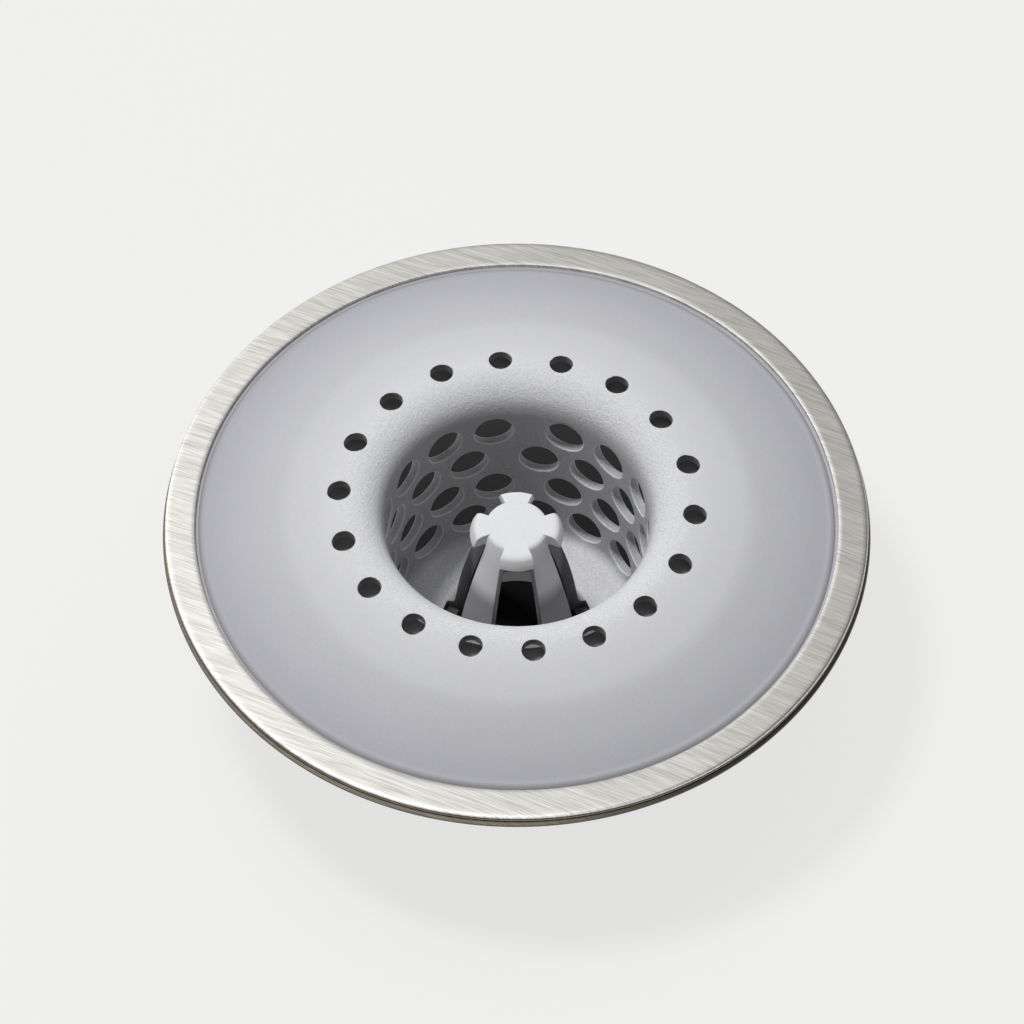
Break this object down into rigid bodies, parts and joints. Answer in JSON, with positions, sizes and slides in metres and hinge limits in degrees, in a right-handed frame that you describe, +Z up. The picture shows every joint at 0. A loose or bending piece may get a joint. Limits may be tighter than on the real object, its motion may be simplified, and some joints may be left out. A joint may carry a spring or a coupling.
{
  "type": "drain hair catcher",
  "caption": "Soft perforated cup with a domed collar, a slotted centre post and a brushed steel rim, dropped into a drain to catch hair while water runs through.",
  "frame": {"origin": "centre of the cup's base, where the catcher stands on a table", "axes": "+Z up along the axis of the cup and rim; -Y is the front, facing the viewer, and the plain seam of the cup wall is at +Y"},
  "size_m": [0.1128, 0.1128, 0.037],
  "materials": {
    "silicone": "matte moulded silicone",
    "brushed_rim": "straight brushed land with a bright folded edge"
  },
  "bodies": {
    "root": {"silicone_body": "silicone", "steel_rim": "brushed_rim"}
  },
  "joints": []
}
